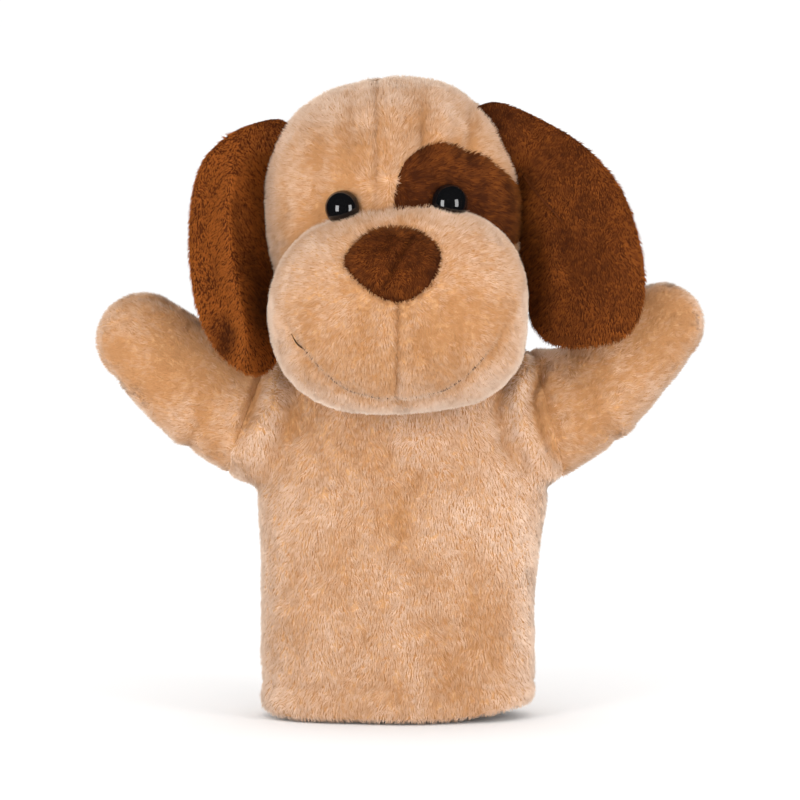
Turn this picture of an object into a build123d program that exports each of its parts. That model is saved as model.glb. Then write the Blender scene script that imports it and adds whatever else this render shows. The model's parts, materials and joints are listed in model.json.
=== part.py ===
from build123d import *
import math
import os

# Plush dog hand puppet: a sleeve body with two finger arms, a stuffed head on
# a ball-shaped neck, and two flat hanging ears.
# Millimetres, +Z up, the face looks along -Y, and the origin is the centre of
# the hand opening in the plane of the hem.  "Left" is the -X side.

os.makedirs("parts", exist_ok=True)

# ---- driving dimensions ----------------------------------------------------
CLOTH = 3.0                  # plush cloth with its backing
GAP = 0.6                    # running gap between bodies that move

BODY_SECTIONS = [            # height, half width, half depth, centre x
    (0.0, 53.5, 31.0, -0.5),
    (45.0, 54.5, 32.0, 0.0),
    (92.0, 56.0, 30.5, 1.0),
    (114.0, 48.0, 26.0, 1.0),
    (128.0, 29.0, 23.0, 1.0),
]
HEM_DEPTH = 14.0             # height of the turned-up hem
HEM_CLOTH = 1.6
THREAD = 0.9

NECK = Vector(1.0, 2.0, 128.0)       # pivot of the neck
NECK_BALL_R = 26.0
NECK_RING_T = 1.8                    # thickness of each neck ring
NECK_HOLE_DEG = 38.0                 # finger hole, half angle seen from the pivot
FINGER_R = 11.0                      # finger room in the head's sleeve
SLEEVE_T = 1.5
SLEEVE_TOP_Z = 205.0

HEAD_X, HEAD_Y = -2.3, 0.0
HEAD_MID_Z = 192.0
HEAD_R = 51.0
HEAD_UP = 55.3               # half height
HEAD_POWER = 2.35
HEAD_ROLL = -7.0             # the crown leans to the left, degrees
FOREHEAD_SEAM_X = -9.0
EAR_SEAM_Y = 5.0

MUZZLE = Vector(-1.0, -40.0, 163.7)
MUZZLE_HALF_W = 50.0
MUZZLE_R = 41.0
MUZZLE_POWER = 2.5
MOUTH_LOW_Z = 125.6
MOUTH_SLOPE = 0.62

NOSE_OUTLINE = [             # x, z seen from the front
    (-21.2, 182.5), (-17.0, 190.0), (-9.5, 194.8), (1.0, 195.6), (10.5, 192.2), (15.3, 185.5),
    (12.5, 176.5), (5.0, 170.4), (-2.7, 168.6), (-12.5, 173.4),
]
PATCH_OUTLINE = [            # x, z seen from the front; its lower part is under the muzzle
    (-2.0, 200.0), (0.4, 216.0), (9.5, 224.6), (23.0, 223.6), (35.5, 217.0), (45.5, 205.5),
    (49.0, 190.0), (28.0, 176.0), (4.0, 184.0),
]

EYE_R = 6.5
EYE_SHANK_R = 1.8
EYE_REACH = 51.7             # from the middle of the cranium to the cloth at an eye
EYE_BACK = -2.5              # flat back of the dome, below the cloth's face
EYE_CENTRES = {"left": (-22.9, 202.6), "right": (20.2, 204.6)}

ARM_BALL_R = 24.0
ROOT_CUT = 8.0               # the arm is open from here inwards, behind its pivot
ARMS = {                     # shoulder pivot, paw centre, paw radius
    "left": (Vector(-54.5, 3.0, 112.5), Vector(-100.0, 12.0, 145.0), 17.2),
    "right": (Vector(56.0, 3.0, 111.5), Vector(101.8, 12.0, 150.6), 15.6),
}

EAR_T = 3.0                  # thickness of one ear panel
EAR_SLANT = 15.6             # lower end swings forward, degrees
EAR_HINGE = {"left": Vector(-44.0, -7.0, 232.0), "right": Vector(33.0, -7.0, 238.0)}
EAR_OUTLINES = {             # x, z seen from the front
    "left": [(-46.0, 232.8), (-54.0, 232.2), (-65.5, 228.0), (-76.0, 218.8), (-80.8, 206.0),
             (-82.3, 188.0), (-81.4, 171.0), (-77.8, 156.0), (-70.5, 143.0), (-61.0, 135.8),
             (-52.5, 135.5), (-49.5, 146.0), (-55.0, 170.0), (-57.0, 200.0), (-53.5, 221.0)],
    "right": [(33.5, 239.6), (45.5, 237.4), (65.0, 228.0), (77.0, 218.4), (86.5, 206.0),
              (92.4, 190.5), (95.4, 173.0), (93.6, 158.0), (86.0, 148.6), (71.0, 146.6),
              (57.5, 150.8), (53.0, 163.7), (52.5, 194.8), (47.0, 221.9)],
}


# ---- helpers ---------------------------------------------------------------
def save(name, shape):
    """Write one sub-part, which has to be a single closed solid."""
    solids = shape.solids()
    assert len(solids) == 1, f"{name}: {len(solids)} solids"
    solids[0].label = name
    export_step(solids[0], f"parts/{name}.step")


def block(x=(-300, 300), y=(-300, 300), z=(-300, 400)):
    """A box between the given limits, used to cut panels apart."""
    size = [hi - lo for lo, hi in (x, y, z)]
    middle = [(hi + lo) / 2 for lo, hi in (x, y, z)]
    return Pos(*middle) * Box(*size)


def outline_prism(points, front, back):
    """A smooth closed outline in x and z, drawn out along y between two planes."""
    face = make_face(Spline(*points, periodic=True))
    return Pos(0, back, 0) * Rot(90, 0, 0) * extrude(face, back - front)


def ball(centre, radius):
    return Pos(*centre) * Sphere(radius)


def body_loft(inset, low, high):
    """The sleeve, lofted through ellipses and drawn in by the inset."""
    faces = [
        Pos(x, 0, z) * Ellipse(half_w - inset, half_d - inset)
        for z, half_w, half_d, x in BODY_SECTIONS
    ]
    sleeve = Solid.make_loft([f.face().outer_wire() for f in faces])
    return sleeve & block(z=(low, high))


def plump_curve(half_x, half_y, power, inset):
    """Half of a superellipse from (+half_x, 0) over to (-half_x, 0), inset along its normals."""
    def at(a):
        c, s = math.cos(a), math.sin(a)
        return (half_x * math.copysign(abs(c) ** (2 / power), c), half_y * abs(s) ** (2 / power))

    points = [(half_x - inset, 0)]
    for i in range(1, 16):
        a = math.pi * i / 16
        x, y = at(a)
        nx = math.copysign(abs(x / half_x) ** (power - 1), x) / half_x
        ny = (y / half_y) ** (power - 1) / half_y
        k = inset / math.hypot(nx, ny)
        points.append((x - nx * k, y - ny * k))
    points.append((inset - half_x, 0))
    return points


def head_form(inset):
    """The cranium, a solid of revolution standing on the neck."""
    points = [(y, 0, HEAD_MID_Z + x) for x, y in plump_curve(HEAD_UP, HEAD_R, HEAD_POWER, inset)]
    profile = make_face([Spline(*points), Line(points[-1], points[0])])
    upright = Pos(0, 0, -HEAD_MID_Z) * revolve(profile, Axis.Z)
    return Pos(HEAD_X, HEAD_Y, HEAD_MID_Z) * Rot(0, HEAD_ROLL, 0) * upright


def muzzle_form(grow):
    """The muzzle pillow, a plump solid of revolution about X."""
    points = plump_curve(MUZZLE_HALF_W, MUZZLE_R, MUZZLE_POWER, -grow)
    profile = make_face([Spline(*points), Line(points[-1], points[0])])
    return Pos(*MUZZLE) * revolve(profile, Axis.X)


def toward(start, end):
    """A place at start whose Z axis runs to end and whose X axis stays level."""
    z = (end - start).normalized()
    x = Vector(z.Y, -z.X, 0).normalized()
    return Plane(origin=start, x_dir=x, z_dir=z).location


def spherical_ring(radius, low_deg, high_deg):
    """A ring of cloth on a sphere about the neck pivot, between two cone angles."""
    points = []
    for r, degs in ((radius, (low_deg, high_deg)), (radius + NECK_RING_T, (high_deg, low_deg))):
        for d in degs:
            a = math.radians(d)
            points.append((r * math.sin(a), 0, r * math.cos(a)))
    mid = math.radians((low_deg + high_deg) / 2)
    outer = radius + NECK_RING_T
    edges = [
        ThreePointArc(points[0], (radius * math.sin(mid), 0, radius * math.cos(mid)), points[1]),
        Line(points[1], points[2]),
        ThreePointArc(points[2], (outer * math.sin(mid), 0, outer * math.cos(mid)), points[3]),
        Line(points[3], points[0]),
    ]
    return Pos(*NECK) * revolve(make_face(edges), Axis.Z)


# ---- body sleeve -----------------------------------------------------------
finger_cone_r = 60 * math.tan(math.radians(NECK_HOLE_DEG))
finger_cone = Pos(*NECK) * Pos(0, 0, 30) * Cone(0.1, finger_cone_r, 60)

body_top = BODY_SECTIONS[-1][0]
body_solid = body_loft(0, 0, body_top) + ball(NECK, NECK_BALL_R)
body_hollow = body_loft(CLOTH, -1, body_top) + ball(NECK, NECK_BALL_R - CLOTH)
body_shell = body_solid - body_hollow - block(z=(-50, 0)) - finger_cone
for shoulder, paw, paw_r in ARMS.values():
    body_shell -= ball(shoulder, ARM_BALL_R + GAP)

save("body_front_panel", body_shell & block(y=(-300, 0)))
save("body_back_panel", body_shell & block(y=(0, 300)))

hem = body_loft(CLOTH, 0, HEM_DEPTH) - body_loft(CLOTH + HEM_CLOTH, -1, HEM_DEPTH + 1)
save("hem_facing", hem)
stitch_z = HEM_DEPTH - 2.5
stitch_band = block(z=(stitch_z, stitch_z + THREAD))
inner_edge = body_loft(CLOTH + HEM_CLOTH, 0, HEM_DEPTH)
stitches = inner_edge - body_loft(CLOTH + HEM_CLOTH + THREAD, -1, HEM_DEPTH + 1)
save("hem_stitching", stitches & stitch_band)

# ---- arms ------------------------------------------------------------------
for side, (shoulder, paw, paw_r) in ARMS.items():
    place = toward(shoulder, paw)
    length = (paw - shoulder).length

    def arm_form(inset):
        """Shoulder ball, tapering arm and rounded paw along the arm's axis."""
        ball_r, tip_r = ARM_BALL_R - inset, paw_r - inset
        lean = math.asin((ball_r - tip_r) / length)
        c, s = math.cos(lean), math.sin(lean)
        low, high = (ball_r * c, ball_r * s), (tip_r * c, length + tip_r * s)
        half = math.pi / 4 - lean / 2
        mid_ball = math.pi / 4 - lean / 2
        edges = [
            ThreePointArc((0, 0, -ball_r),
                          (ball_r * math.cos(mid_ball), 0, -ball_r * math.sin(mid_ball)),
                          (low[0], 0, low[1])),
            Line((low[0], 0, low[1]), (high[0], 0, high[1])),
            ThreePointArc((high[0], 0, high[1]),
                          (tip_r * math.cos(lean + half), 0, length + tip_r * math.sin(lean + half)),
                          (0, 0, length + tip_r)),
            Line((0, 0, length + tip_r), (0, 0, -ball_r)),
        ]
        return revolve(make_face(edges), Axis.Z)

    hollow = arm_form(CLOTH)
    root_cut = Pos(0, 0, -ROOT_CUT - 20) * Box(80, 80, 40)
    shell = arm_form(0) - hollow - root_cut
    fill_z = length - 8.0
    finger_end = Pos(0, 0, fill_z) * Sphere(10.0)
    stuffing = (hollow & Pos(0, 0, fill_z + 40) * Box(80, 80, 80)) - finger_end
    front = place * shell & block(y=(-300, shoulder.Y + 4.0))
    back = place * shell & block(y=(shoulder.Y + 4.0, 300))
    save(f"{side}_arm_front_panel", front)
    save(f"{side}_arm_back_panel", back)
    save(f"{side}_paw_stuffing", place * stuffing)

# ---- neck rings ------------------------------------------------------------
gusset_r = NECK_BALL_R + GAP
band_r = gusset_r + NECK_RING_T + GAP
socket_r = band_r + NECK_RING_T + GAP
save("neck_gusset", spherical_ring(gusset_r, NECK_HOLE_DEG + 2, 74))
save("neck_band", spherical_ring(band_r, NECK_HOLE_DEG + 2, 70))

# ---- head ------------------------------------------------------------------
socket = ball(NECK, socket_r)
cranium, cranium_core = head_form(0), head_form(CLOTH)
muzzle, muzzle_core = muzzle_form(0), muzzle_form(-CLOTH)
sleeve_base = NECK.Z + 20
sleeve_h = SLEEVE_TOP_Z - sleeve_base


def sleeve_form(radius, top):
    shaft = Pos(NECK.X, NECK.Y, sleeve_base + sleeve_h / 2) * Cylinder(radius, sleeve_h)
    return shaft + ball((NECK.X, NECK.Y, top), radius)


sleeve_room = sleeve_form(FINGER_R, SLEEVE_TOP_Z)
sleeve_outer = sleeve_form(FINGER_R + SLEEVE_T, SLEEVE_TOP_Z)

# Each eye is a dome on a shank, square to the cloth under it.
eyes = {}
for side, (x, z) in EYE_CENTRES.items():
    ray = Vector(x - HEAD_X, 0, z - HEAD_MID_Z)
    depth = math.sqrt(EYE_REACH ** 2 - ray.X ** 2 - ray.Z ** 2)
    out = Vector(ray.X, -depth, ray.Z).normalized()
    seat = Vector(x, HEAD_Y - depth, z)
    eyes[side] = (seat, Plane(origin=seat, x_dir=(1, 0, 0), z_dir=out).location)

dome = Pos(0, 0, -1.0) * Sphere(EYE_R) & Pos(0, 0, EYE_BACK + 10) * Box(20, 20, 20)
shaft = Pos(0, 0, EYE_BACK - 5) * Cylinder(EYE_SHANK_R, 12)
washer = Pos(0, 0, -CLOTH - 3.5) * Cylinder(7.5, 1.4)
eye_rooms = {side: loc * dome for side, (seat, loc) in eyes.items()}
eye_shafts = {side: loc * shaft for side, (seat, loc) in eyes.items()}
washers = {side: loc * washer for side, (seat, loc) in eyes.items()}

head_cloth = cranium - cranium_core - socket - muzzle
muzzle_cloth = muzzle - muzzle_core - cranium - socket
for side in eyes:
    head_cloth = head_cloth - eye_rooms[side] - eye_shafts[side]
    muzzle_cloth = muzzle_cloth - eye_rooms[side]

patch_prism = outline_prism(PATCH_OUTLINE, -110, -10)
face_cloth = head_cloth & block(y=(-300, EAR_SEAM_Y))
back_cloth = head_cloth & block(y=(EAR_SEAM_Y, 300))
save("forehead_left_panel", face_cloth & block(x=(-300, FOREHEAD_SEAM_X)))
right_face = face_cloth & block(x=(FOREHEAD_SEAM_X, 300))
save("forehead_right_panel", right_face - patch_prism)
save("eye_patch", right_face & patch_prism)
save("head_back_left_panel", back_cloth & block(x=(-300, HEAD_X)))
save("head_back_right_panel", back_cloth & block(x=(HEAD_X, 300)))

nose_prism = outline_prism(NOSE_OUTLINE, -100, -45)
save("nose_panel", (muzzle_form(1.0) - muzzle_core) & nose_prism)
mouth_rise = MOUTH_SLOPE * 80
chin_outline = Polyline(
    (MUZZLE.X - 80, MOUTH_LOW_Z + mouth_rise), (MUZZLE.X, MOUTH_LOW_Z),
    (MUZZLE.X + 80, MOUTH_LOW_Z + mouth_rise), (MUZZLE.X + 80, 60), (MUZZLE.X - 80, 60),
    close=True)
mouth_prism = Rot(90, 0, 0) * extrude(make_face(chin_outline), 150, both=True)
throat = block(y=(MUZZLE.Y, 300), z=(60, MOUTH_LOW_Z + MOUTH_SLOPE * MUZZLE_HALF_W))
chin_prism = mouth_prism + throat
save("chin_panel", muzzle_cloth & chin_prism)
lips = muzzle_cloth - chin_prism - nose_prism
save("muzzle_left_panel", lips & block(x=(-300, MUZZLE.X)))
save("muzzle_right_panel", lips & block(x=(MUZZLE.X, 300)))

thread_prism = mouth_prism - Pos(0, 0, -1.6) * mouth_prism
thread_run = block(x=(MUZZLE.X - 41, MUZZLE.X + 40), y=(-300, MUZZLE.Y - 4))
save("mouth_stitching", (muzzle_form(THREAD) - muzzle) & thread_prism & thread_run)

head_fill = cranium_core - socket - sleeve_outer
muzzle_fill = muzzle_core - cranium_core - socket - sleeve_outer
for side in eyes:
    fittings = eye_shafts[side] + washers[side] + eye_rooms[side]
    head_fill -= fittings
    muzzle_fill -= fittings
save("head_stuffing", head_fill)
save("muzzle_stuffing", muzzle_fill)
save("head_finger_sleeve", sleeve_outer - sleeve_room - socket)

for side in eyes:
    save(f"{side}_eye", eye_rooms[side] + eye_shafts[side])
    save(f"{side}_eye_washer", washers[side] - eye_shafts[side])

# ---- ears ------------------------------------------------------------------
stretch = 1 / math.cos(math.radians(EAR_SLANT))
for side, outline in EAR_OUTLINES.items():
    hinge = EAR_HINGE[side]
    points = [(x - hinge.X, (z - hinge.Z) * stretch) for x, z in outline]
    lobe = make_face(Spline(*points, periodic=True))
    slant = Pos(*hinge) * Rot(-EAR_SLANT, 0, 0) * Rot(90, 0, 0)
    save(f"{side}_ear_front_panel", slant * extrude(lobe, EAR_T))
    save(f"{side}_ear_back_panel", slant * extrude(lobe, -EAR_T))
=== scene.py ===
import json
import math

import bpy
import bmesh
import numpy as np
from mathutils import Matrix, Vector


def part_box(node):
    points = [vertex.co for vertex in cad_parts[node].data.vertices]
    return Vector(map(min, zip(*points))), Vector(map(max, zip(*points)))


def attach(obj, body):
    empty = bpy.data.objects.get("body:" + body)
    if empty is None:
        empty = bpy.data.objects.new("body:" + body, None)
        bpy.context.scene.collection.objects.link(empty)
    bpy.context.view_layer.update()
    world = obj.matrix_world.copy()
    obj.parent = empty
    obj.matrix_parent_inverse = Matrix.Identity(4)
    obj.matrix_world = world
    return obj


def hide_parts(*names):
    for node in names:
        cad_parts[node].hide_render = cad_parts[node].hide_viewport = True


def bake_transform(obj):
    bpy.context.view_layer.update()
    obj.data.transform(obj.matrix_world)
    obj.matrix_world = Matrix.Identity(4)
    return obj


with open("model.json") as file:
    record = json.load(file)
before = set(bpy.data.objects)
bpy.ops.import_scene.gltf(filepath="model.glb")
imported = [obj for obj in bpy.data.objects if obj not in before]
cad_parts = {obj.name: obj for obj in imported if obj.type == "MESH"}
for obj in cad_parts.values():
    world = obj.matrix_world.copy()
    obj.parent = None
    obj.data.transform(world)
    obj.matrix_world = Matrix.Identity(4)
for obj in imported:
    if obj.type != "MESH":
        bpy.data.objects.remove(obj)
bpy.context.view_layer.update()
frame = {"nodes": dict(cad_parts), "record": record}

MM = 0.001

# ---- places and sizes, in millimetres, read from the frame -----------------
JOINTS = {j["name"]: j for j in frame["record"]["behaviour"]["joints"]}


def vec(x, y, z):
    return np.array([x, y, z], float)


def corners(*nodes):
    """Lowest and highest corner of some CAD nodes together."""
    lows, highs = zip(*[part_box(n) for n in nodes])
    return np.min([list(v) for v in lows], 0) / MM, np.max([list(v) for v in highs], 0) / MM


def pivot(joint):
    return np.array(JOINTS[joint]["pos_m"], float) / MM


def unit(v):
    v = np.asarray(v, float)
    return v / np.maximum(np.linalg.norm(v, axis=-1, keepdims=True), 1e-12)


NECK = pivot("head_turn")
INSET = 1.3                  # from the CAD's face, at the middle of the pile, in to the cloth
HEAD_R, HEAD_UP, HEAD_POWER, HEAD_ROLL = 51.0 - INSET, 55.3 - INSET, 2.35, math.radians(-7)
HEAD = vec(-2.3, 0.0, corners("forehead_left_panel", "forehead_right_panel")[1][2] - 55.1)
pad_low, pad_high = corners("muzzle_left_panel", "muzzle_right_panel")
MUZZLE_R, MUZZLE_HALF_W, MUZZLE_ROLL = 41.0 - INSET, 50.0 - INSET, math.radians(-3.2)
MUZZLE = vec((pad_low[0] + pad_high[0]) / 2, pad_low[1] + 41.0, pad_high[2] - 41.0)
nose_low, nose_high = corners("nose_panel")
NOSE = (nose_low + nose_high) / 2
NOSE_HALF = (nose_high - nose_low) / 2
NOSE_LINE = [                # x, z
    (-21.2, 182.5), (-17.0, 190.0), (-9.5, 194.8), (1.0, 195.6), (10.5, 192.2), (15.3, 185.5),
    (12.5, 176.5), (5.0, 170.4), (-2.7, 168.6), (-12.5, 173.4),
]
PATCH_LINE = [               # x, z; its lower part lies under the muzzle
    (-2.0, 200.0), (0.4, 216.0), (9.5, 224.6), (23.0, 223.6), (35.5, 217.0), (45.5, 205.5),
    (49.0, 190.0), (28.0, 176.0), (4.0, 184.0),
]
FOREHEAD_SEAM_X = corners("forehead_left_panel")[1][0]
EAR_SEAM_Y = corners("forehead_left_panel")[1][1]
MOUTH_LOW = pad_low[2] + 2.9
MOUTH_RISE, MOUTH_HALF = 27.0, 40.6


# ---- noise and small field helpers -----------------------------------------
def lattice(ix, iy, iz, seed):
    h = (ix * 374761393 + iy * 668265263 + iz * 1440662683 + seed * 1274126177) & 0xFFFFFFFF
    h = ((h ^ (h >> 13)) * 1274126177) & 0xFFFFFFFF
    h = ((h ^ (h >> 16)) * 668265263) & 0xFFFFFFFF
    return ((h ^ (h >> 15)) & 0xFFFFF) / float(0xFFFFF)


def noise(p, cell, seed=0):
    """Smooth value noise from -1 to 1 with the given cell size."""
    q = np.asarray(p, float) / cell + 1000.0
    i = np.floor(q).astype(np.int64)
    f = q - i
    f = f * f * (3 - 2 * f)
    total = np.zeros(len(q))
    for dx in (0, 1):
        for dy in (0, 1):
            for dz in (0, 1):
                w = (f[:, 0] if dx else 1 - f[:, 0])
                w = w * (f[:, 1] if dy else 1 - f[:, 1]) * (f[:, 2] if dz else 1 - f[:, 2])
                total += w * lattice(i[:, 0] + dx, i[:, 1] + dy, i[:, 2] + dz, seed)
    return total * 2 - 1


def swirl(p, cell, seed):
    return np.stack([noise(p, cell, seed + k) for k in range(3)], 1)


def smooth_union(a, b, k):
    h = np.clip(0.5 + 0.5 * (b - a) / k, 0, 1)
    return b * (1 - h) + a * h - k * h * (1 - h)


def bell(d, width):
    return np.exp(-((d / width) ** 2))


def ramp(x, low, high):
    t = np.clip((x - low) / (high - low), 0, 1)
    return t * t * (3 - 2 * t)


def shoot(origins, rays, field, far, outermost=True, steps=90):
    """Distance along each ray to the surface of the field, where it is negative inside."""
    n = len(origins)
    hit, found = np.zeros(n), np.zeros(n, bool)
    order = range(steps, -1, -1) if outermost else range(0, steps + 1)
    for k in order:
        t = far * k / steps
        value = field(origins + rays * t)
        new = ((value < 0) if outermost else (value > 0)) & ~found
        hit[new] = t
        found |= new
    low, high = (hit, hit + far / steps) if outermost else (hit - far / steps, hit)
    low, high = low.copy(), high.copy()
    for _ in range(16):
        mid = (low + high) / 2
        inside = field(origins + rays * mid[:, None]) < 0
        low = np.where(inside, mid, low)
        high = np.where(inside, high, mid)
    return np.maximum((low + high) / 2, 0)


def gradient(field, p, h=0.4):
    g = np.stack([field(p + d) - field(p - d) for d in np.eye(3) * h], 1)
    return unit(g)


# ---- the head's form -------------------------------------------------------
def rolled(p):
    d = p - HEAD
    c, s = math.cos(-HEAD_ROLL), math.sin(-HEAD_ROLL)
    return np.stack([d[:, 0] * c + d[:, 2] * s, d[:, 1], -d[:, 0] * s + d[:, 2] * c], 1)


def cranium(p):
    q = rolled(p)
    r = np.hypot(q[:, 0], q[:, 1]) / HEAD_R
    h = np.abs(q[:, 2]) / HEAD_UP
    return ((r ** HEAD_POWER + h ** HEAD_POWER) ** (1 / HEAD_POWER) - 1) * HEAD_R


def muzzle(p):
    """A cross-wise barrel with soft ends, rolled a little, and squarer on the right."""
    d = p - MUZZLE
    c, s = math.cos(-MUZZLE_ROLL), math.sin(-MUZZLE_ROLL)
    x, z = d[:, 0] * c + d[:, 2] * s, -d[:, 0] * s + d[:, 2] * c
    power = 2.1 + 0.35 * ramp(x, -25, 25) + 0.45 * ramp(-z, -10, 25)
    a = np.abs(x) / MUZZLE_HALF_W
    r = np.hypot(d[:, 1], z) / MUZZLE_R
    return ((a ** power + r ** power) ** (1 / power) - 1) * MUZZLE_R


def head_field(p):
    return smooth_union(cranium(p), muzzle(p), 1.6)


def mouth_z(x):
    return MOUTH_LOW + MOUTH_RISE * (np.abs(x - MUZZLE[0]) / MOUTH_HALF) ** 2.5


def mouth_gap(p):
    """Distance below (-) or above (+) the mouth line, about square to it."""
    x = p[:, 0]
    slope = (mouth_z(x + 0.5) - mouth_z(x - 0.5))
    return (p[:, 2] - mouth_z(x)) / np.sqrt(1 + slope * slope)


def smooth_loop(points, count):
    """A closed smooth curve through the points (Catmull-Rom), evenly spaced."""
    pts = np.array(points, float)
    n = len(pts)
    out = []
    for k in range(n):
        p0, p1, p2, p3 = pts[k - 1], pts[k], pts[(k + 1) % n], pts[(k + 2) % n]
        for t in np.linspace(0, 1, 24, endpoint=False):
            out.append(0.5 * (2 * p1 + (p2 - p0) * t + (2 * p0 - 5 * p1 + 4 * p2 - p3) * t * t
                              + (3 * p1 - p0 - 3 * p2 + p3) * t ** 3))
    out = np.array(out + [out[0]])
    step = np.concatenate([[0], np.cumsum(np.linalg.norm(np.diff(out, axis=0), axis=1))])
    at = np.linspace(0, step[-1], count, endpoint=False)
    return np.stack([np.interp(at, step, out[:, i]) for i in range(2)], 1)


def outline_ring(p, points):
    """0 at the middle of a closed outline seen from the front, 1 on it."""
    pts = smooth_loop(points, 160)
    hub = pts.mean(0)
    order = np.argsort(np.arctan2(*(pts - hub).T[::-1]))
    pts = pts[order]
    angle = np.arctan2(*(pts - hub).T[::-1])
    radius = np.linalg.norm(pts - hub, axis=1)
    q = p[:, [0, 2]] - hub
    around = np.concatenate([angle - 2 * math.pi, angle, angle + 2 * math.pi])
    limit = np.interp(np.arctan2(q[:, 1], q[:, 0]), around, np.tile(radius, 3))
    return np.linalg.norm(q, axis=1) / limit


def nose_ring(p):
    return outline_ring(p, NOSE_LINE)


def patch_ring(p):
    return outline_ring(p, PATCH_LINE)


EYES = {}
for side in ("left", "right"):
    low, high = corners(f"{side}_eye")
    EYES[side] = vec((low[0] + high[0]) / 2, low[1] + 5.0, (low[2] + high[2]) / 2)


def head_part(p):
    """Names each point's panel."""
    on_muzzle = muzzle(p) < cranium(p)
    x, y, z = p.T
    nose = on_muzzle & (y < MUZZLE[1]) & (nose_ring(p) < 1)
    chin = on_muzzle & (((y < MUZZLE[1]) & (mouth_gap(p) < 0))
                        | ((y >= MUZZLE[1]) & (z < MOUTH_LOW + MOUTH_RISE)))
    left = x < MUZZLE[0]
    part = np.full(len(p), "forehead_left", dtype="U16")
    part[x > FOREHEAD_SEAM_X] = "forehead_right"
    part[(patch_ring(p) < 1) & (x > FOREHEAD_SEAM_X) & (y < -8)] = "eye_patch"
    back = y > EAR_SEAM_Y
    part[back & (x < HEAD[0])] = "head_back_left"
    part[back & (x >= HEAD[0])] = "head_back_right"
    part[on_muzzle & left] = "muzzle_left"
    part[on_muzzle & ~left] = "muzzle_right"
    part[chin] = "chin"
    part[nose] = "nose"
    return part


def head_relief(p):
    """How far the cloth stands off the plain form."""
    x, y, z = p.T
    on_muzzle = muzzle(p) < cranium(p)
    front = y < MUZZLE[1] - 2
    d = 0.55 * noise(p, 17, 1) + 0.3 * noise(p, 7, 2)
    # muzzle: middle seam, mouth and nose
    below_nose = ramp(NOSE[2] - NOSE_HALF[2] + 1 - z, -2, 2) * on_muzzle * front
    d -= 1.3 * bell(x - MUZZLE[0], 1.5) * below_nose * ramp(z, MOUTH_LOW - 6, MOUTH_LOW + 2)
    reach = ramp(MOUTH_HALF + 3 - np.abs(x - MUZZLE[0]), 0, 5) * (y < MUZZLE[1] + 4) * on_muzzle
    d -= 1.1 * bell(mouth_gap(p), 1.5) * reach
    ring = nose_ring(p)
    d += (-1.1 * bell((ring - 1) * 15, 1.6) + 2.0 * np.clip(1 - ring ** 2, 0, 1)) * front * on_muzzle
    slant = (x - NOSE[0] - 1.5) * 0.87 - (z - NOSE[2]) * 0.49
    d -= 1.2 * bell(slant, 1.3) * ramp(0.85 - ring, 0, 0.15) * front * on_muzzle
    # puckers beside the muzzle's upper seam
    edge = np.abs(muzzle(p) - cranium(p))
    d -= 0.6 * bell(edge, 4.0)
    # cranium: seams
    top = ramp(z, 200, 212) * (y < EAR_SEAM_Y) * ~on_muzzle
    d -= 1.0 * bell(x - FOREHEAD_SEAM_X, 1.9) * top
    d -= 1.1 * bell(y - EAR_SEAM_Y, 1.6) * ~on_muzzle
    d -= 1.1 * bell(x - HEAD[0], 1.6) * (y > EAR_SEAM_Y)
    d -= 0.6 * bell((patch_ring(p) - 1) * 24, 1.3) * (y < -8) * (x > FOREHEAD_SEAM_X) * ~on_muzzle
    # soft folds of the forehead
    for fx, fz, wide, tall, lift in FOREHEAD_FOLDS:
        lean = fx + (z - fz) * 0.06
        d += lift * bell(x - lean, wide) * bell(z - fz, tall) * (y < EAR_SEAM_Y + 6) * ~on_muzzle
    for centre in EYES.values():
        d -= 1.7 * bell(np.linalg.norm(p - centre, axis=1), 9.0) * ~on_muzzle
    return d


FOREHEAD_FOLDS = [           # x, z, half width, half height, lift
    (-19, 232, 3.4, 12, -1.7), (-30, 222, 4.0, 12, -1.6), (-3, 234, 4.2, 12, 1.3),
    (8.5, 229, 2.8, 9, -2.5), (16, 230, 3.6, 9, 1.3), (26.5, 226, 2.8, 9, -2.5),
    (-36, 205, 5.0, 12, 1.0),
]


# ---- the body's and arms' form ---------------------------------------------
SLEEVE_ROWS = np.array([     # height, half width, half depth, centre x
    (-20, 54.0, 30.5, -0.8), (0, 54.1, 31, -0.8), (25, 54.5, 31.5, -0.9), (42, 54.2, 32, -1.1),
    (62, 55.2, 31.5, -0.2), (72, 56.2, 31.2, 0.1), (82, 57.8, 30.8, 0.4), (90, 57.5, 30, 0.8),
    (104, 54.5, 28.5, 1), (115, 51, 26.5, 1), (124, 46, 24.5, 1), (130, 39, 22.5, 1), (134, 29, 20.5, 1),
    (138, 20, 17, 1), (150, 8, 8, 1)], float)
SLEEVE_POWER = 2.2
NECK_R = 26.1


def row_values(z):
    return [np.interp(z, SLEEVE_ROWS[:, 0], SLEEVE_ROWS[:, k]) for k in (1, 2, 3)]


def sleeve(p):
    a, b, cx = [sum(row_values(p[:, 2] + dz)[k] for dz in (-4, 0, 4)) / 3 for k in range(3)]
    u = (np.abs(p[:, 0] - cx) / a) ** SLEEVE_POWER + (np.abs(p[:, 1]) / b) ** SLEEVE_POWER
    return (u ** (1 / SLEEVE_POWER) - 1) * b + INSET


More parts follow.
